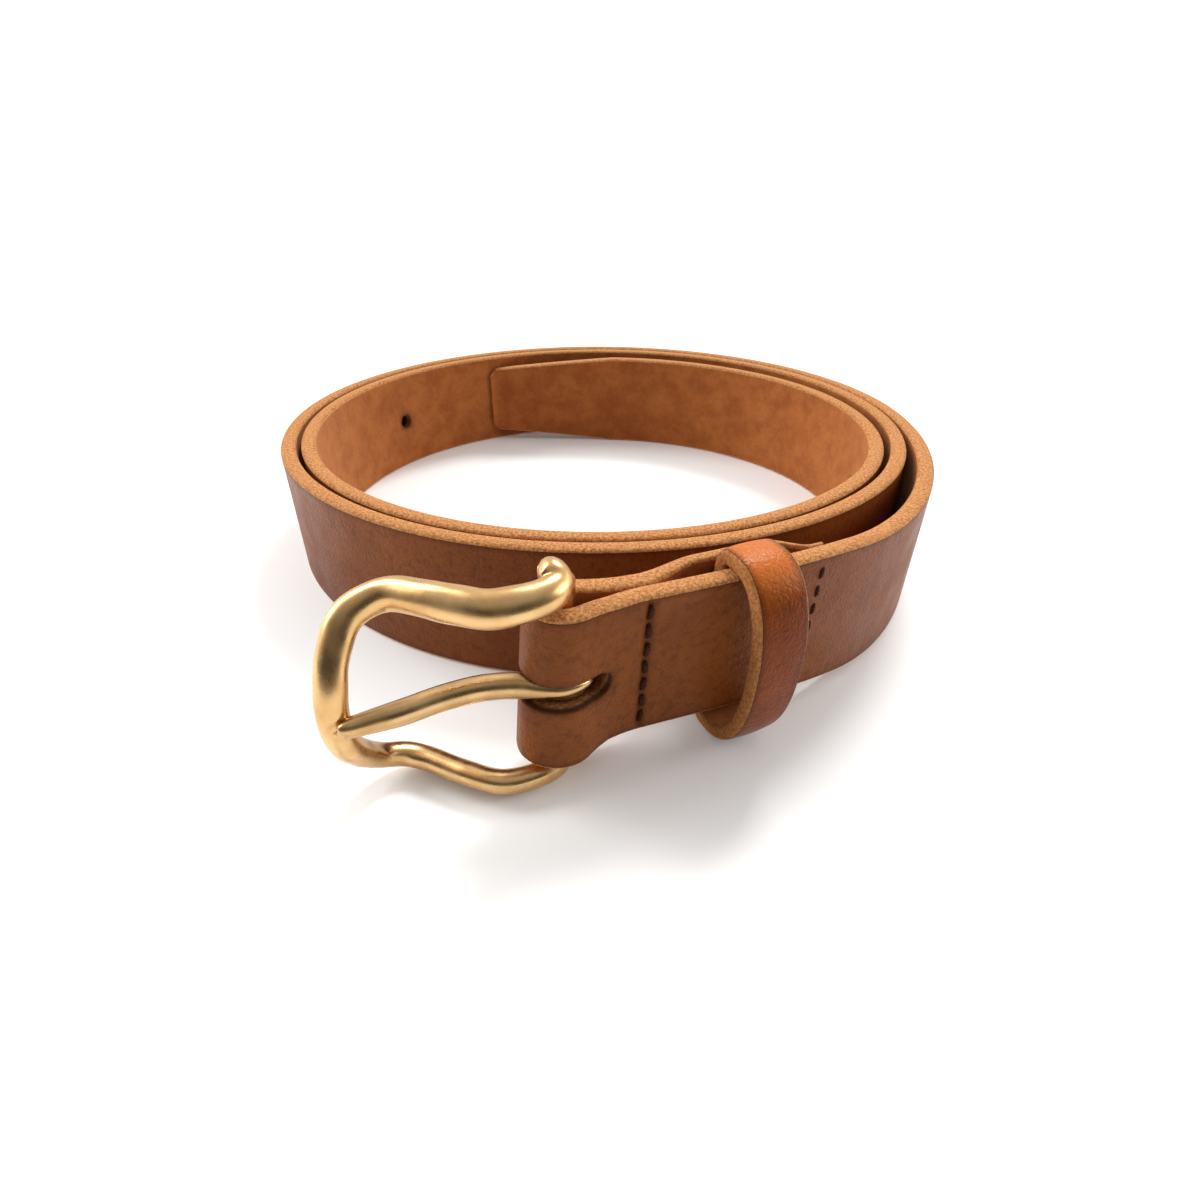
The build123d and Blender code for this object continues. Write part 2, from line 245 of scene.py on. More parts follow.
def lean_at(s):
    """Sine of the strap's outward lean: none on the coil, LEAN near the buckle, reversed past the bar."""
    sine = math.sin(math.radians(LEAN))
    front = sine * smooth((s - S_LIFT - LEAN_RUN[0]) / LEAN_RUN[1])
    turning = sine * (S_BAR - s) / 7
    return np.where(s > S_BAR + 7, -sine, np.where(s > S_BAR - 7, turning, front))


def strap_points(s, b, c_frac, side):
    """Point at arc length s, height b from mid-width, c_frac of the half-thickness outward."""
    p, n, climb, thick, u = belt_frame(s)
    height = b * strap_width(s) / WIDTH
    swell = 0.10 * np.sin(s / 23.0) * np.cos(b / 9.0)
    depth = c_frac * thick / 2 - pressed(u, b, side) * np.sign(c_frac) * (np.abs(c_frac) > 0.9)
    out = depth + swell * 0.4 * (np.abs(s - S_BAR) > 12) + height * lean_at(s)
    xy = p + n * out[..., None]
    mid_height = climb * LIFT + WIDTH / 2 * (1 - climb) + END_WIDTH / 2 * climb
    z = mid_height + height * (1 - climb * (1 - END_WIDTH / WIDTH))
    return np.concatenate([xy, z[..., None]], -1)


def opening_walls(open_cell, n_face, inner_start, n_loop):
    """Quads through the leather round every opening, from its grain-side rim to its flesh-side rim."""
    padded = np.pad(open_cell, 1)
    walls = []
    for di, dj in ((-1, 0), (1, 0), (0, -1), (0, 1)):
        other = padded[1 + di : padded.shape[0] - 1 + di, 1 + dj : padded.shape[1] - 1 + dj]
        i, j = np.nonzero(open_cell & ~other)
        if di == -1:
            a, b = (i, j), (i, j + 1)
        elif di == 1:
            a, b = (i + 1, j + 1), (i + 1, j)
        elif dj == -1:
            a, b = (i + 1, j), (i, j)
        else:
            a, b = (i, j + 1), (i + 1, j + 1)
        a_in = a[0] * n_loop + inner_start + (n_face - 1 - a[1])
        b_in = b[0] * n_loop + inner_start + (n_face - 1 - b[1])
        walls.append(np.stack([a[0] * n_loop + a[1], b[0] * n_loop + b[1], b_in, a_in], -1))
    return np.concatenate(walls)


def build_strap():
    """Strip of leather: a row of the grid goes round by grain face, upper edge, flesh face, lower edge."""
    centre_cols = np.linspace(-PATCH, PATCH, 17)
    side_cols = np.linspace(PATCH, WIDTH / 2 - CORNER, 11)[1:]
    cols = np.concatenate([-side_cols[::-1], centre_cols, side_cols])
    rows = strap_rows()
    n_rows, n_face = len(rows), len(cols)
    n_loop = 2 * (n_face + EDGE_POINTS)
    inner_start = n_face + EDGE_POINTS

    mid_s = (rows[1:] + rows[:-1])[:, None] / 2
    mid_b = (cols[1:] + cols[:-1])[None, :] / 2
    face_s = np.repeat(rows[:, None], n_face, 1)
    face_b = np.repeat(cols[None, :], n_rows, 0)
    face_s, face_b, hole_cells, hole_rim = punch_holes(face_s, face_b, mid_s, mid_b)
    face_s, slot_cells, slot_rim = cut_slot(face_s, face_b, rows, mid_s, mid_b)
    open_cell = hole_cells | slot_cells
    # Painted shade along the pressed stitch channel at the front row; rim gathers it with the painted shade
    # round holes and slot.
    channel = 0.75 * np.exp(-((S_BAR - face_s - ROW_1) / 0.75) ** 2)
    channel = channel * smooth((WIDTH / 2 - 0.8 - np.abs(face_b)) / 1.0)
    rim = np.maximum(np.maximum(hole_rim, slot_rim), channel)

    # The edges are half turns, flattened so that the cut edge stays nearly square.
    turn = np.linspace(0, math.pi, EDGE_POINTS + 2)[1:-1]
    edge_b = np.repeat((WIDTH / 2 - CORNER + CORNER * np.sin(turn))[None], n_rows, 0)
    edge_c = np.repeat((np.sign(np.cos(turn)) * np.abs(np.cos(turn)) ** 0.55)[None], n_rows, 0)
    edge_s = np.repeat(rows[:, None], EDGE_POINTS, 1)
    outer = strap_points(face_s, face_b, np.ones_like(face_s), 1)
    inner = strap_points(face_s, face_b, -np.ones_like(face_s), -1)[:, ::-1]
    upper = strap_points(edge_s, edge_b, edge_c, 0)
    lower = strap_points(edge_s, -edge_b, -edge_c, 0)
    verts = np.concatenate([outer, upper, inner, lower], 1)

    keep = np.ones((n_rows - 1, n_loop), bool)
    keep[:, : n_face - 1] &= ~open_cell
    keep[:, inner_start : inner_start + n_face - 1] &= ~open_cell[:, ::-1]
    faces = [list(f) for f in grid_faces(n_rows, n_loop)[keep]]
    faces += [list(f) for f in opening_walls(open_cell, n_face, inner_start, n_loop)]
    faces += end_caps(n_rows, n_loop)

    no_edge = np.zeros((n_rows, EDGE_POINTS))
    side = np.concatenate([np.ones((n_rows, n_face)), no_edge, -np.ones((n_rows, n_face)), no_edge], 1)
    across = np.concatenate([face_b, edge_b, face_b[:, ::-1], -edge_b], 1)
    rims = np.concatenate([rim, no_edge, rim[:, ::-1], no_edge], 1)
    return put_mesh("leather_strap", verts.reshape(-1, 3), faces,
                    [("side", side), ("across", across * MM), ("rim", rims)])


strap = build_strap()

# ---- local frames of the buckle end ---------------------------------------------------
end_tau = math.radians(END_HEADING)
BACK = np.array([-math.cos(end_tau), math.sin(end_tau), 0.0])
FRONT = np.array([math.sin(end_tau), math.cos(end_tau), 0.0])
UP = np.array([0.0, 0.0, 1.0])
foot = np.append(ply_frame(np.array([S_ARC_END]))[0][0], 0.0)
BAR = foot - BACK * STRAIGHT - FRONT * PLY_HALF + UP * (LIFT + END_WIDTH / 2)


def in_frame(local, origin, x_axis, z_axis):
    """Local (x behind the bar, y up, z outward) to the common frame."""
    y_axis = np.cross(z_axis, x_axis)
    return origin + local[..., :1] * x_axis + local[..., 1:2] * y_axis + local[..., 2:3] * z_axis


def on_bar(points):
    """Points about the heel bar's middle, x toward the coil, y up, z outward, to the common frame."""
    return in_frame(points, BAR, BACK, FRONT)


def station(u):
    """Origin and axes on the front ply, u behind the bar."""
    p, n, climb = ply_frame(np.array([S_BAR - u]))
    z_axis = np.append(n[0], 0.0)
    origin = np.append(p[0], climb[0] * (LIFT + END_WIDTH / 2) + (1 - climb[0]) * WIDTH / 2)
    return origin, np.cross(UP, z_axis), z_axis


def tube(line, radius_a, radius_b, tilt=0.0, sides=24):
    """Oval section carried along a line: line + a cos(q) r_a + b sin(q) r_b, axes a and b turned by tilt."""
    d = np.gradient(line, axis=0)
    d /= np.linalg.norm(d, axis=1)[:, None]
    side = np.cross(np.array([0.0, 0.0, 1.0]), d)
    side /= np.linalg.norm(side, axis=1)[:, None] + 1e-12
    out = np.cross(d, side)
    q = np.linspace(0, 2 * math.pi, sides, endpoint=False)[None, :, None]
    ct, st = math.cos(tilt), math.sin(tilt)
    axis_a = (side * ct + out * st)[:, None]
    axis_b = (-side * st + out * ct)[:, None]
    r_a, r_b = radius_a[:, None, None], radius_b[:, None, None]
    return line[:, None] + axis_a * np.cos(q) * r_a + axis_b * np.sin(q) * r_b


def put_tube(name, pts):
    """Mesh of a tube's rows of points, closed by a face at each end."""
    rows, sides = pts.shape[:2]
    quads = grid_faces(rows, sides).reshape(-1, 4)
    return put_mesh(name, on_bar(pts.reshape(-1, 3)), [list(f) for f in quads] + end_caps(rows, sides))


def spline_through(knots, count):
    """Smooth line through knots: cubic Hermite pieces over chord length, slopes by central difference."""
    k = np.asarray(knots, float)
    t = np.concatenate([[0], np.cumsum(np.linalg.norm(np.diff(k, axis=0), axis=1))])
    m = np.gradient(k, t, axis=0, edge_order=1)
    q = np.linspace(0, t[-1], count)
    i = np.clip(np.searchsorted(t, q, side="right") - 1, 0, len(t) - 2)
    h = (t[i + 1] - t[i])[:, None]
    f = ((q - t[i])[:, None]) / h
    return ((2 * f**3 - 3 * f**2 + 1) * k[i] + (f**3 - 2 * f**2 + f) * h * m[i]
            + (-2 * f**3 + 3 * f**2) * k[i + 1] + (f**3 - f**2) * h * m[i + 1])


def round_ends(line, radius_start, radius_end):
    """Factor from 0 to 1 and back along a line, so that a tube's ends close as half circles."""
    length = np.linalg.norm(np.diff(line, axis=0), axis=1).sum()
    s = np.linspace(0, length, len(line))
    a = np.sqrt(np.clip(1 - np.clip(1 - s / radius_start, 0, 1) ** 2, 0, 1))
    b = np.sqrt(np.clip(1 - np.clip(1 - (length - s) / radius_end, 0, 1) ** 2, 0, 1))
    return np.clip(a * b, 0.02, 1)


# ---- buckle frame -----------------------------------------------------------------------
ARM, BOW, DEPTH, BOW_HALF, BOW_BACK = 17.8, 34.0, 8.44, 16.3, -7.7
TIP_OUT = 0.05
NOTCH_R, NOTCH_OUT, NOTCH_SLOPE = 1.7, 1.9, 0.1


def buckle_line():
    """Centre line as (toward the bow, up, outward): curled arm end, arm, half-round bow, lower arm mirrored.

    The bow swings outward with the cube of the sine of its angle; the frame leans by TIP_OUT
    and hangs a little at the bow.
    """
    curl = [(2.6, 19.4, -2.2), (1.2, 19.2, -1.4), (0.6, 18.6, 0.2), (0.9, 18.0, 1.8)]
    straight = [(2.6, ARM, 3.0), (6.0, ARM, 3.8), (11.0, ARM - 0.1, 3.5), (16.0, ARM - 0.2, -0.2)]
    upper_arm = curl + straight + [(BOW - DEPTH, BOW_HALF, BOW_BACK)]
    turn = np.radians([25.0, 50.0, 70.0, 90.0, 110.0, 130.0, 155.0])
    reach = BOW - DEPTH + DEPTH * np.sin(turn)
    bow = np.stack([reach, BOW_HALF * np.cos(turn), BOW_BACK + 6.6 * np.sin(turn) ** 3], 1)
    lower_arm = [(r, -min(h, ARM), d) for r, h, d in reversed(upper_arm)]
    knots = np.concatenate([upper_arm, bow, lower_arm]) * np.array([-1.0, 1.0, 1.0])
    knots[:, 2] += TIP_OUT * knots[:, 1]
    knots[:, 1] -= 0.3 + 0.5 * smooth((-knots[:, 0] - 14) / 12)
    line = spline_through(knots, 300)
    for _ in range(14):
        line[1:-1] = (line[:-2] + 2 * line[1:-1] + line[2:]) / 4
    return line


def cut_notch(pts):
    """Pushes the points inside the notch's cylinder, where the tongue's tip rests, back to its wall."""
    centre = NOTCH_OUT + (-pts[..., 0] - 29.0) * NOTCH_SLOPE
    reach = np.hypot(pts[..., 1], pts[..., 2] - centre)
    inside = (pts[..., 0] < -26) & (reach < NOTCH_R) & (pts[..., 2] > -1.5)
    wall = centre - np.sqrt(np.clip(NOTCH_R**2 - pts[..., 1] ** 2, 0, None))
    pts[..., 2] = np.where(inside, np.minimum(pts[..., 2], wall), pts[..., 2])
    return pts


def build_horseshoe():
    """Oval tube along the buckle's line, fuller on the arms and rounder at their ends, with small swells."""
    line = buckle_line()
    f = np.linspace(-1, 1, len(line))
    near_end = np.exp(-((np.abs(f) - 1) / 0.09) ** 2)
    long_r = 2.55 + 0.3 * np.exp(-((np.abs(f) - 0.68) / 0.16) ** 2) - 0.1 * near_end
    short_r = 2.1 + 0.35 * near_end + 0.2 * np.exp(-((f - 0.14) / 0.14) ** 2)
    ends = round_ends(line, 2.6, 2.6)
    sides = 36
    pts = tube(line, long_r * ends, short_r * ends, math.radians(40.0), sides)
    q = np.linspace(0, 2 * math.pi, sides, endpoint=False)
    f = f[:, None]
    swell = 0.05 * np.sin(f * 31 + 0.7) * np.cos(q * 2 + f * 9) + 0.03 * np.cos(f * 57) * np.cos(q - f * 5)
    pts = line[:, None] + (pts - line[:, None]) * (1 + swell[..., None] * 0.35)
    return put_tube("buckle_horseshoe", cut_notch(pts))


def build_heel_bar():
    """Upright round bar whose ends are rounded off inside the arms' ends."""
    y = np.linspace(-18.6, 18.6, 60)
    rounding = ((np.abs(y) - 17.2) / 1.45).clip(0, 1)
    radius = (2.6 * np.sqrt(np.clip(1 - rounding**2, 0.01, 1)))[:, None]
    q = np.linspace(0, 2 * math.pi, 32, endpoint=False)
    pts = np.stack([radius * np.cos(q), np.repeat(y[:, None], len(q), 1), -radius * np.sin(q)], -1)
    return put_tube("buckle_heel_bar", pts)


buckle = build_horseshoe()
heel_bar = build_heel_bar()


# ---- tongue -------------------------------------------------------------------------------
def build_tongue():
    """Round tube from the slot over the bar's front to the bow, thin in the slot and fullest half way."""
    knots = [(4.6, 0, 1.6), (3.8, 0, 2.9), (1.8, 0, 3.9), (-0.6, 0, 4.0), (-3.2, 0, 2.9), (-6, 0, 1.2),
             (-12, 0, -0.6), (-18, 0, -0.5), (-25, 0, 0.7), (-30, 0, 1.2), (-33.8, 0, 1.6)]
    line = spline_through(knots, 140)
    f = np.linspace(0, 1, len(line))
    radius = 0.75 + 1.4 * smooth(f / 0.36) - 0.1 * smooth((f - 0.4) / 0.4) - 0.45 * smooth((f - 0.75) / 0.25)
    radius = radius * round_ends(line, 1.2, 2.6)
    return put_tube("buckle_tongue", tube(line, radius, radius * 0.92, sides=28))


def build_ring(inner=2.68, outer=4.7, half=2.1):
    """Ring round the bar's axis: its section is a superellipse of radii (outer - inner) / 2 and half."""
    a = np.linspace(0, 2 * math.pi, 48, endpoint=False)[:, None]
    q = np.linspace(0, 2 * math.pi, 24, endpoint=False)
    cq, sq = np.cos(q), np.sin(q)
    r = (inner + outer) / 2 + (outer - inner) / 2 * np.sign(cq) * np.abs(cq) ** 0.7
    y = half * np.sign(sq) * np.abs(sq) ** 0.6
    pts = np.stack([r * np.cos(a), np.repeat(y[None], len(a), 0), r * np.sin(a)], -1)
    faces = grid_faces(len(a), len(q), wrap_rows=True).reshape(-1, 4)
    return put_mesh("tongue_ring", on_bar(pts.reshape(-1, 3)), faces)


tongue = build_tongue()
ring = build_ring()

# ---- keeper ---------------------------------------------------------------------------------
KEEPER_THICK, KEEPER_HALF_WIDTH, KEEPER_CORNER = 2.5, 4.75, 0.7
KEEPER_SIDE, KEEPER_SPACE, KEEPER_CLEAR = 16.2, 6.1, 0.4
KEEPER_SHARP, KEEPER_DROP, KEEPER_TILT = 2.25, 1.4, 0.055


def loop_line(count, side, behind, ahead):
    """Closed loop round the strap, evenly spaced: a superellipse in front, nearly square corners behind."""
    a = np.linspace(0, 2 * math.pi, count, endpoint=False)
    c, s = np.cos(a), np.sin(a)
    front = s > 0
    y = side * np.sign(c) * np.abs(c) ** (2 / np.where(front, KEEPER_SHARP, 7.0))
    z = np.where(front, ahead * np.abs(s) ** (2 / KEEPER_SHARP), -behind * np.abs(s) ** (2 / 7.0))
    line = np.stack([y, z], 1)
    closed = np.concatenate([line, line[:1]])
    t = np.concatenate([[0], np.cumsum(np.linalg.norm(np.diff(closed, axis=0), axis=1))])
    q = np.linspace(0, t[-1], count, endpoint=False)
    return np.stack([np.interp(q, t, closed[:, 0]), np.interp(q, t, closed[:, 1])], 1)


def build_keeper():
    """Leather band carried round the loop: loop + normal times thickness, with a slight crown outside."""
    count, half_t = 220, KEEPER_THICK / 2
    line = loop_line(count, KEEPER_SIDE + half_t, THICK / 2 + KEEPER_CLEAR + half_t,
                     THICK / 2 + KEEPER_SPACE + half_t)
    line[:, 0] -= KEEPER_DROP
    line[:, 1] += KEEPER_TILT * line[:, 0]
    d = np.roll(line, -1, 0) - np.roll(line, 1, 0)
    d /= np.linalg.norm(d, axis=1)[:, None]
    for _ in range(3):
        d = (np.roll(d, 1, 0) + d + np.roll(d, -1, 0)) / 3
    d /= np.linalg.norm(d, axis=1)[:, None]
    normal = np.stack([d[:, 1], -d[:, 0]], 1)

    flat = np.linspace(-KEEPER_HALF_WIDTH + KEEPER_CORNER, KEEPER_HALF_WIDTH - KEEPER_CORNER, 15)
    arc = np.linspace(0, math.pi, 9)[1:-1]
    edge = KEEPER_HALF_WIDTH - KEEPER_CORNER + KEEPER_CORNER * np.sin(arc)
    soft = np.sign(np.cos(arc)) * np.abs(np.cos(arc)) ** 0.55
    sec_x = np.concatenate([flat, edge, flat[::-1], -edge])
    sec_t = np.concatenate([np.ones(15), soft, -np.ones(15), -soft]) * half_t
    sec_side = np.concatenate([np.ones(15), np.zeros(7), -np.ones(15), np.zeros(7)])
    crown = 0.35 * (1 - (sec_x / KEEPER_HALF_WIDTH) ** 2) * (sec_t > 0)
    yz = line[:, None] + normal[:, None] * (sec_t + crown)[None, :, None]
    across = np.repeat(sec_x[None], count, 0)
    pts = np.concatenate([across[..., None], yz], -1)
    # bend is a painted highlight: 1 on the top turn of the loop, where the band's normal faces up, lightening
    # the grain to orange there.
    bend = np.repeat(0.75 * smooth((normal[:, :1] - 0.35) / 0.55), len(sec_x), 1)
    origin, back, front = station(KEEPER_AT)
    return put_mesh("keeper_loop", in_frame(pts.reshape(-1, 3), origin, back, front),
                    grid_faces(count, len(sec_x), wrap_rows=True).reshape(-1, 4),
                    [("side", np.repeat(sec_side[None], count, 0)), ("across", across * MM),
                     ("rim", np.zeros_like(across)), ("bend", bend)])


keeper = build_keeper()


# ---- stitches ---------------------------------------------------------------------------------
def stitch_rows(name, u, depth_front, depth_back):
    """Bowed capsules on each face of a row: the radius fades where the thread bends into the leather."""
    origin, back, front = station(u)
    lean = float(lean_at(np.array(S_BAR - u)))
    rows, sides = 15, 10
    t = np.linspace(-1, 1, rows)[:, None]
    a = np.linspace(0, 2 * math.pi, sides, endpoint=False)[None]
    radius = 0.44 * np.sqrt(np.clip(1 - t**4, 0.001, 1))
    faces = grid_faces(rows, sides).reshape(-1, 4).tolist() + end_caps(rows, sides)
    all_points, all_faces, base = [], [], 0
    for depth, sign in ((depth_front, 1), (depth_back, -1)):
        for k in range(STITCH_COUNT):
            mid = (k - (STITCH_COUNT - 1) / 2) * STITCH_PITCH
            skew = 0.12 * math.sin(3.1 * k + sign)
            y = mid + t * (STITCH_PITCH * 0.40) + 0 * a
            z = depth + y * lean + sign * (0.22 - 0.75 * t**4) + radius * np.sin(a)
            x = skew * t + radius * np.cos(a) * 1.05
            all_points.append(np.stack([x, y, z], -1).reshape(-1, 3))
            all_faces += [[i + base for i in face] for face in faces]
            base += rows * sides
    return put_mesh(name, in_frame(np.concatenate(all_points), origin, back, front), all_faces)


front_row = stitch_rows("stitches_at_buckle", ROW_1, THICK / 2 - 0.35, 0.2 - (2 * PLY_HALF + THICK / 2))
rear_row = stitch_rows("stitches_at_flap", ROW_2, THICK / 2 - 0.25, -3.1)


# ---- node helpers ---------------------------------------------------------------------------
def new_material(name):
    """Empty node material with one shader on its output."""
    mat = bpy.data.materials.new(name)
    mat.use_nodes = True
    tree = mat.node_tree
    tree.nodes.clear()
    out = tree.nodes.new("ShaderNodeOutputMaterial")
    bsdf = tree.nodes.new("ShaderNodeBsdfPrincipled")
    tree.links.new(bsdf.outputs[0], out.inputs[0])
    return mat, tree, bsdf


def link(tree, value, socket):
    """Sets a socket to a number or colour, or links another node's output to it."""
    if isinstance(value, (int, float, tuple)):
        socket.default_value = value
    else:
        tree.links.new(value, socket)


def noise(tree, vector, scale, detail=4.0, rough=0.55):
    """Cloudy pattern from 0 to 1, finer as scale grows."""
    n = tree.nodes.new("ShaderNodeTexNoise")
    n.inputs["Scale"].default_value = scale
    n.inputs["Detail"].default_value = detail
    n.inputs["Roughness"].default_value = rough
    tree.links.new(vector, n.inputs["Vector"])
    return n.outputs["Fac"]


def cells(tree, vector, scale, feature="F1"):
    """Distance to the middle of scattered cells, or to their borders."""
    n = tree.nodes.new("ShaderNodeTexVoronoi")
    n.feature = feature
    n.inputs["Scale"].default_value = scale
    tree.links.new(vector, n.inputs["Vector"])
    return n.outputs["Distance"]


def calc(tree, op, a, b=0.0, c=0.0):
    """One step of arithmetic on numbers or outputs."""
    n = tree.nodes.new("ShaderNodeMath")
    n.operation = op
    for value, socket in zip((a, b, c), n.inputs):
        link(tree, value, socket)
    return n.outputs[0]


def ramp(tree, value, low, high, out_low=0.0, out_high=1.0):
    """Eased step of a value between low and high."""
    n = tree.nodes.new("ShaderNodeMapRange")
    n.interpolation_type = "SMOOTHSTEP"
    link(tree, value, n.inputs["Value"])
    n.inputs["From Min"].default_value = low
    n.inputs["From Max"].default_value = high
    n.inputs["To Min"].default_value = out_low
    n.inputs["To Max"].default_value = out_high
    return n.outputs["Result"]


def mix(tree, factor, a, b):
    """Colour a turning to colour b as factor goes from 0 to 1."""
    n = tree.nodes.new("ShaderNodeMix")
    n.data_type = "RGBA"
    link(tree, factor, n.inputs[0])
    link(tree, a, n.inputs[6])
    link(tree, b, n.inputs[7])
    return n.outputs[2]


def bump(tree, height, strength, distance, normal=None):
    """Normal bent by a height, on top of another normal where one is given."""
    n = tree.nodes.new("ShaderNodeBump")
    n.inputs["Strength"].default_value = strength
    n.inputs["Distance"].default_value = distance
    link(tree, height, n.inputs["Height"])
    if normal is not None:
        tree.links.new(normal, n.inputs["Normal"])
    return n.outputs["Normal"]


def attribute(tree, name):
    """Value of a per-point number on the piece."""
    n = tree.nodes.new("ShaderNodeAttribute")
    n.attribute_name = name
    return n.outputs["Fac"]


def object_coords(tree):
    """Place on the piece, in metres."""
    return tree.nodes.new("ShaderNodeTexCoord").outputs["Object"]


def rgb(r, g, b):
    """Display colour 0-255 to linear."""
    c = np.array([r, g, b]) / 255.0
    c = np.where(c <= 0.04045, c / 12.92, ((c + 0.055) / 1.055) ** 2.4)
    return (float(c[0]), float(c[1]), float(c[2]), 1.0)


def darker(colour, share):
    """Colour with each channel scaled by share."""
    return tuple(share * v for v in colour[:3]) + (1.0,)


# ---- materials --------------------------------------------------------------------------------
# The second colour here paints shade round the openings and in the stitch channel.
# The third colour here paints the highlight on the keeper's upward-facing top.
EDGE_PAINT, RIM_SHADE, TOP_HIGHLIGHT = rgb(58, 28, 14), rgb(45, 22, 12), rgb(205, 112, 44)


def grain_colour(tree, co, grain_a, grain_b, half_width):
    """Clouded grain side with dark flecks, a painted highlight on the keeper's upward-facing top turn (the
    bend attribute), darker toward the edges.
    """
    cloud = noise(tree, co, 38.0, 5.0, 0.6)
    fine = noise(tree, co, 700.0, 3.0, 0.6)
    colour = mix(tree, ramp(tree, cloud, 0.3, 0.7), grain_a, grain_b)
    colour = mix(tree, ramp(tree, fine, 0.45, 0.7, 0.0, 0.5), colour, darker(grain_a, 0.6))
    # Painted highlight: where bend is set, on the keeper's upward-facing top, the grain turns to a light
    # orange.
    colour = mix(tree, attribute(tree, "bend"), colour, TOP_HIGHLIGHT)
    from_middle = calc(tree, "ABSOLUTE", attribute(tree, "across"))
    border = ramp(tree, from_middle, (half_width - 2.2) * MM, (half_width - 0.5) * MM, 0.0, 0.55)
    return mix(tree, border, colour, darker(grain_a, 0.45))


def leather(name, grain, flesh, edge, rough, half_width):
    """Vegetable-tanned leather: pored grain outside, mottled suede inside, fibrous edge below a painted line.

    The attribute side is 1 on the grain, -1 on the flesh and 0 on the cut edges; rim paints shade round the
    holes, the slot and the stitch channel.
    """
    mat, tree, bsdf = new_material(name)
    co = object_coords(tree)
    side = attribute(tree, "side")
    is_grain = ramp(tree, side, 0.35, 0.75)
    is_flesh = ramp(tree, side, -0.35, -0.75)

    fibre = noise(tree, co, 1400.0, 4.0, 0.7)
    speck = noise(tree, co, 1900.0, 4.0, 0.75)
    mottle = noise(tree, co, 160.0, 6.0, 0.7)
    flesh_col = mix(tree, ramp(tree, mottle, 0.35, 0.68), *flesh)
    flesh_col = mix(tree, ramp(tree, fibre, 0.5, 0.75, 0.0, 0.45), flesh_col, darker(flesh[0], 0.55))
    edge_col = mix(tree, ramp(tree, speck, 0.38, 0.62), *edge)
    colour = mix(tree, is_flesh, edge_col, flesh_col)
    colour = mix(tree, is_grain, colour, grain_colour(tree, co, *grain, half_width))
    paint_line = calc(tree, "MULTIPLY", ramp(tree, side, 0.15, 0.5), ramp(tree, side, 1.0, 0.75))
    colour = mix(tree, calc(tree, "MULTIPLY", paint_line, 0.8), colour, EDGE_PAINT)
    # Painted shade: rim darkens the leather round holes, slot and stitch channel.
    colour = mix(tree, calc(tree, "MULTIPLY", attribute(tree, "rim"), 0.75), colour, RIM_SHADE)
    tree.links.new(colour, bsdf.inputs["Base Color"])

    suede_rough = 0.85
    grain_rough = ramp(tree, noise(tree, co, 90.0, 4.0, 0.6), 0.3, 0.7, rough - 0.05, rough + 0.10)
    step = calc(tree, "SUBTRACT", grain_rough, suede_rough)
    tree.links.new(calc(tree, "MULTIPLY_ADD", is_grain, step, suede_rough), bsdf.inputs["Roughness"])
    bsdf.inputs["IOR"].default_value = 1.47
    bsdf.inputs["Specular IOR Level"].default_value = 0.12

    crinkle = ramp(tree, cells(tree, co, 900.0, "DISTANCE_TO_EDGE"), 0.0, 0.25)
    pores = ramp(tree, cells(tree, co, 1500.0), 0.0, 0.45)
    waves = noise(tree, co, 260.0, 3.0, 0.5)
    pored = calc(tree, "ADD", calc(tree, "MULTIPLY", crinkle, 0.5), calc(tree, "MULTIPLY", pores, 0.6))
    pored = calc(tree, "ADD", pored, calc(tree, "MULTIPLY", waves, 1.6))
    fibrous = calc(tree, "ADD", calc(tree, "MULTIPLY", fibre, 2.2), calc(tree, "MULTIPLY", speck, 1.2))
    not_grain = calc(tree, "SUBTRACT", 1.0, is_grain)
    relief = bump(tree, calc(tree, "MULTIPLY", pored, is_grain), 0.6, 0.00014)
    relief = bump(tree, calc(tree, "MULTIPLY", fibrous, not_grain), 0.6, 0.00016, relief)
    tree.links.new(relief, bsdf.inputs["Normal"])

    tree.links.new(calc(tree, "MULTIPLY", is_flesh, 0.25), bsdf.inputs["Sheen Weight"])
    bsdf.inputs["Sheen Roughness"].default_value = 0.5
    bsdf.inputs["Sheen Tint"].default_value = rgb(255, 200, 150)
    return mat


def brass(name, base_a, base_b):
    """Cast solid brass, satin: warm metal with uneven polish, shallow dents and darker tarnish clouds."""
    mat, tree, bsdf = new_material(name)
    co = object_coords(tree)
    cloud = noise(tree, co, 120.0, 4.0, 0.6)
    polish = noise(tree, co, 300.0, 2.0, 0.5)
    dents = noise(tree, co, 85.0, 2.0, 0.5)
    tree.links.new(mix(tree, ramp(tree, cloud, 0.35, 0.7), base_a, base_b), bsdf.inputs["Base Color"])
    bsdf.inputs["Metallic"].default_value = 1.0
    tree.links.new(ramp(tree, polish, 0.3, 0.75, 0.24, 0.36), bsdf.inputs["Roughness"])
    tree.links.new(bump(tree, dents, 0.12, 0.0012), bsdf.inputs["Normal"])
    return mat


def waxed_thread(name):
    """Twisted waxed thread: dark brown with a fine diagonal twist."""
    mat, tree, bsdf = new_material(name)
    co = object_coords(tree)
    wave = tree.nodes.new("ShaderNodeTexWave")
    wave.bands_direction = "DIAGONAL"
    wave.inputs["Scale"].default_value = 900.0
    wave.inputs["Distortion"].default_value = 1.0
    tree.links.new(co, wave.inputs["Vector"])
    tree.links.new(mix(tree, wave.outputs["Fac"], rgb(44, 18, 8), rgb(70, 32, 14)), bsdf.inputs["Base Color"])
    bsdf.inputs["Roughness"].default_value = 0.6
    bsdf.inputs["Specular IOR Level"].default_value = 0.1
    tree.links.new(bump(tree, wave.outputs["Fac"], 0.5, 0.0001), bsdf.inputs["Normal"])
    return mat


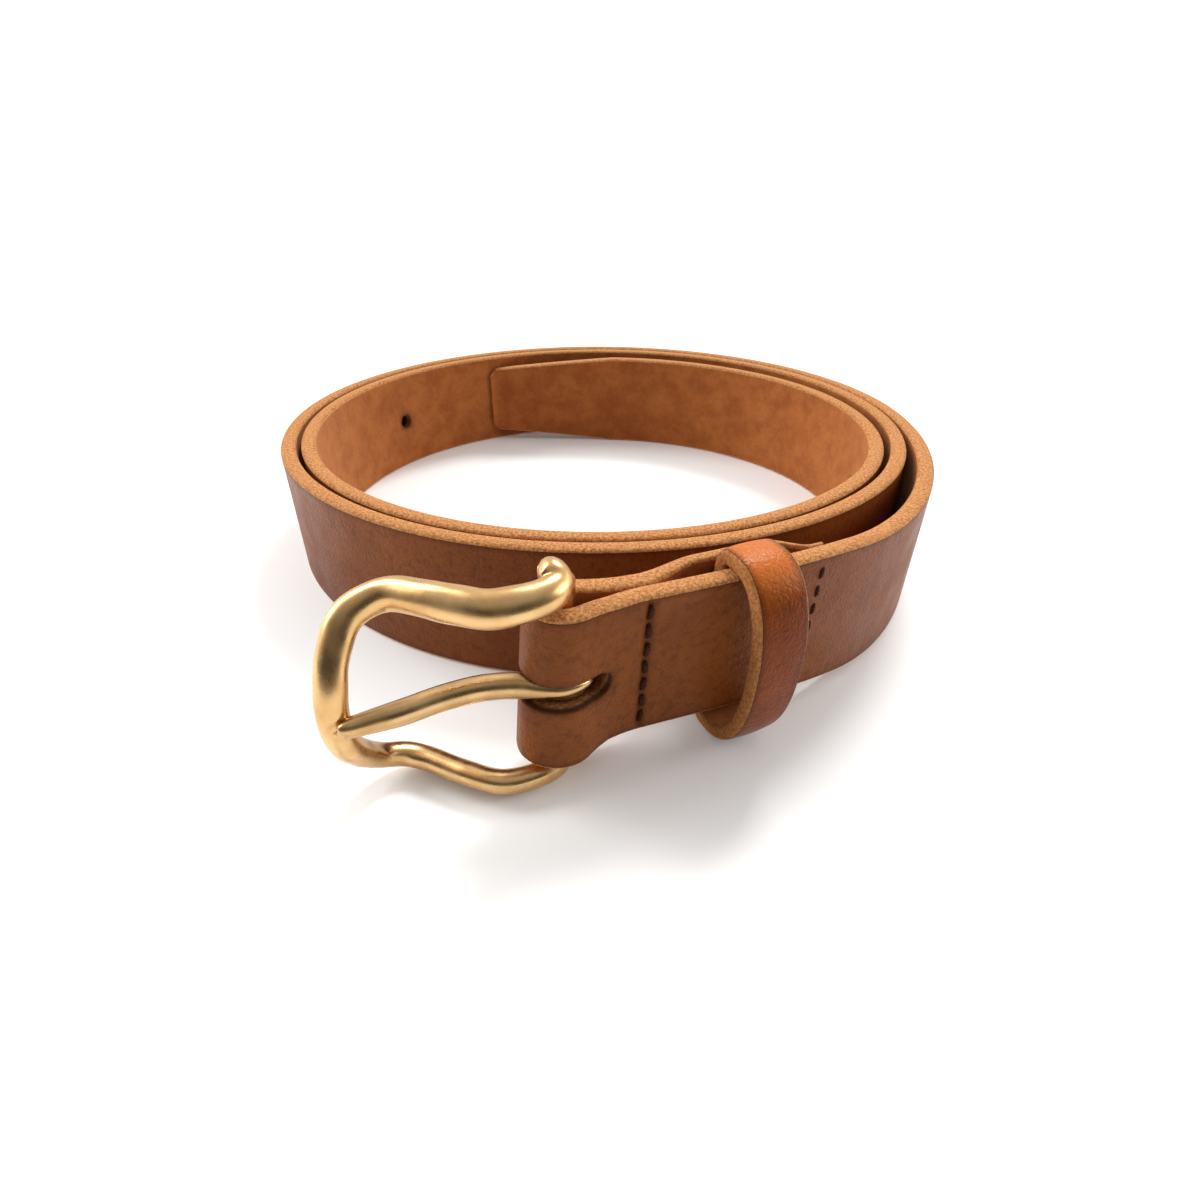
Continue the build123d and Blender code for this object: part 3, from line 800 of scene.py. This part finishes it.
strap_leather = leather("caramel_strap_leather", rough=0.38, half_width=WIDTH / 2,
                        grain=(rgb(112, 58, 21), rgb(130, 71, 28)),
                        flesh=(rgb(168, 100, 50), rgb(144, 80, 38)),
                        edge=(rgb(206, 146, 92), rgb(152, 98, 56)))
keeper_leather = leather("keeper_leather", rough=0.33, half_width=KEEPER_HALF_WIDTH + 0.05,
                         grain=(rgb(110, 48, 8), rgb(130, 60, 14)),
                         flesh=(rgb(160, 92, 46), rgb(136, 74, 34)),
                         edge=(rgb(176, 118, 68), rgb(140, 88, 48)))
frame_brass = brass("buckle_brass", rgb(218, 178, 124), rgb(198, 156, 102))
tongue_brass = brass("tongue_brass", rgb(208, 172, 122), rgb(184, 146, 98))
thread = waxed_thread("waxed_thread")
staple_wire = brass("staple_wire", rgb(196, 160, 104), rgb(170, 134, 84))


def dress(obj, material, body, slot, *nodes):
    """Gives a piece its material, the body it rides on, and the nodes it stands for; slot is not used."""
    obj.data.materials.append(material)
    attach(obj, body)
    if nodes:
        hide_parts(*nodes)


dress(strap, strap_leather, "belt", "strap_leather", "strap")
dress(keeper, keeper_leather, "belt", "keeper_leather", "keeper")
dress(front_row, thread, "belt", "thread", "front_stitching")
dress(rear_row, thread, "belt", "thread", "rear_stitching")
dress(buckle, frame_brass, "frame", "buckle_brass", "buckle_frame")
dress(heel_bar, frame_brass, "frame", "buckle_brass")
dress(tongue, tongue_brass, "tongue", "tongue_brass", "tongue")
dress(ring, tongue_brass, "tongue", "tongue_brass")
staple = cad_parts["keeper_staple"]
staple.data.materials.clear()
staple.data.materials.append(staple_wire)

# ---- floor, light and camera -------------------------------------------------------------------
FLOOR_HALF = 12.0
EYE_HEIGHT, EYE_PITCH, LENS = 88.3, 32.47, 20.3664


def build_floor():
    """Plain white table, faintly glowing so that it stays white far from the lights."""
    mesh = bpy.data.meshes.new("floor")
    corners = [(-1, -1), (1, -1), (1, 1), (-1, 1)]
    mesh.from_pydata([(x * FLOOR_HALF, y * FLOOR_HALF, 0) for x, y in corners], [], [(0, 1, 2, 3)])
    obj = bpy.data.objects.new("floor", mesh)
    bpy.context.scene.collection.objects.link(obj)
    mat, _, bsdf = new_material("white_table")
    bsdf.inputs["Base Color"].default_value = (0.9, 0.897, 0.89, 1)
    bsdf.inputs["Emission Color"].default_value = (1.0, 0.995, 0.985, 1)
    bsdf.inputs["Emission Strength"].default_value = 0.08
    bsdf.inputs["Roughness"].default_value = 0.7
    mesh.materials.append(mat)
    return obj


def put_light(name, kind, strength, place, toward):
    """Light of a kind at a place, shining back from the direction toward; returns its data."""
    light = bpy.data.lights.new(name, kind)
    light.energy = strength
    obj = bpy.data.objects.new(name, light)
    turn = Vector(toward).to_track_quat("Z", "Y").to_matrix().to_4x4()
    obj.matrix_world = Matrix.Translation(Vector(place)) @ turn
    bpy.context.scene.collection.objects.link(obj)
    return light


def window(name, place, power, size=0.30):
    """Square area light that faces the buckle."""
    light = put_light(name, "AREA", power, place, Vector(place) - Vector((0, -0.02, 0)))
    light.shape = "RECTANGLE"
    light.size = light.size_y = size
    light.color = (1.0, 0.99, 0.97)


def soft_sun(name, toward, strength, spread):
    """Distant light from the direction toward, blurred over spread degrees."""
    put_light(name, "SUN", strength, (0, 0, 0), toward).angle = math.radians(spread)


def soft_world():
    """White surroundings, darker toward the front at eye level, and pure white behind everything seen."""
    world = bpy.data.worlds.new("soft_white")
    world.use_nodes = True
    sky = world.node_tree
    split = sky.nodes.new("ShaderNodeSeparateXYZ")
    sky.links.new(sky.nodes.new("ShaderNodeTexCoord").outputs["Generated"], split.inputs[0])
    depth = ramp(sky, split.outputs["Y"], -0.7, 0.3, 0.08, 0.95)
    high = ramp(sky, split.outputs["Z"], 0.35, 0.9, 0.0, 0.55)
    seen = sky.nodes.new("ShaderNodeLightPath").outputs["Is Camera Ray"]
    glow = calc(sky, "MAXIMUM", calc(sky, "MAXIMUM", depth, high), calc(sky, "MULTIPLY", seen, 1.05))
    background = sky.nodes["Background"]
    sky.links.new(glow, background.inputs[1])
    background.inputs[0].default_value = (1.0, 0.996, 0.988, 1)
    return world


build_floor()
soft_sun("sun_behind_right", (0.35, 0.75, 1.0), 2.0, 18.0)
soft_sun("sun_behind_left", (-0.80, 0.45, 0.85), 1.1, 26.0)
window("window_left", (-0.65, 0.05, 0.30), 2.2)
window("window_right", (0.65, -0.05, 0.30), 1.8)
bpy.context.scene.world = soft_world()
bpy.context.scene.view_settings.view_transform = "Standard"

cam_data = bpy.data.cameras.new("camera")
cam_data.sensor_width = 36.0
cam_data.lens = LENS
cam_data.clip_start = 0.01
camera = bpy.data.objects.new("camera", cam_data)
camera.location = (ORIGIN[0] * MM, ORIGIN[1] * MM, EYE_HEIGHT * MM)
camera.rotation_euler = (math.radians(90 - EYE_PITCH), 0, 0)
bpy.context.scene.collection.objects.link(camera)
bpy.context.scene.camera = camera
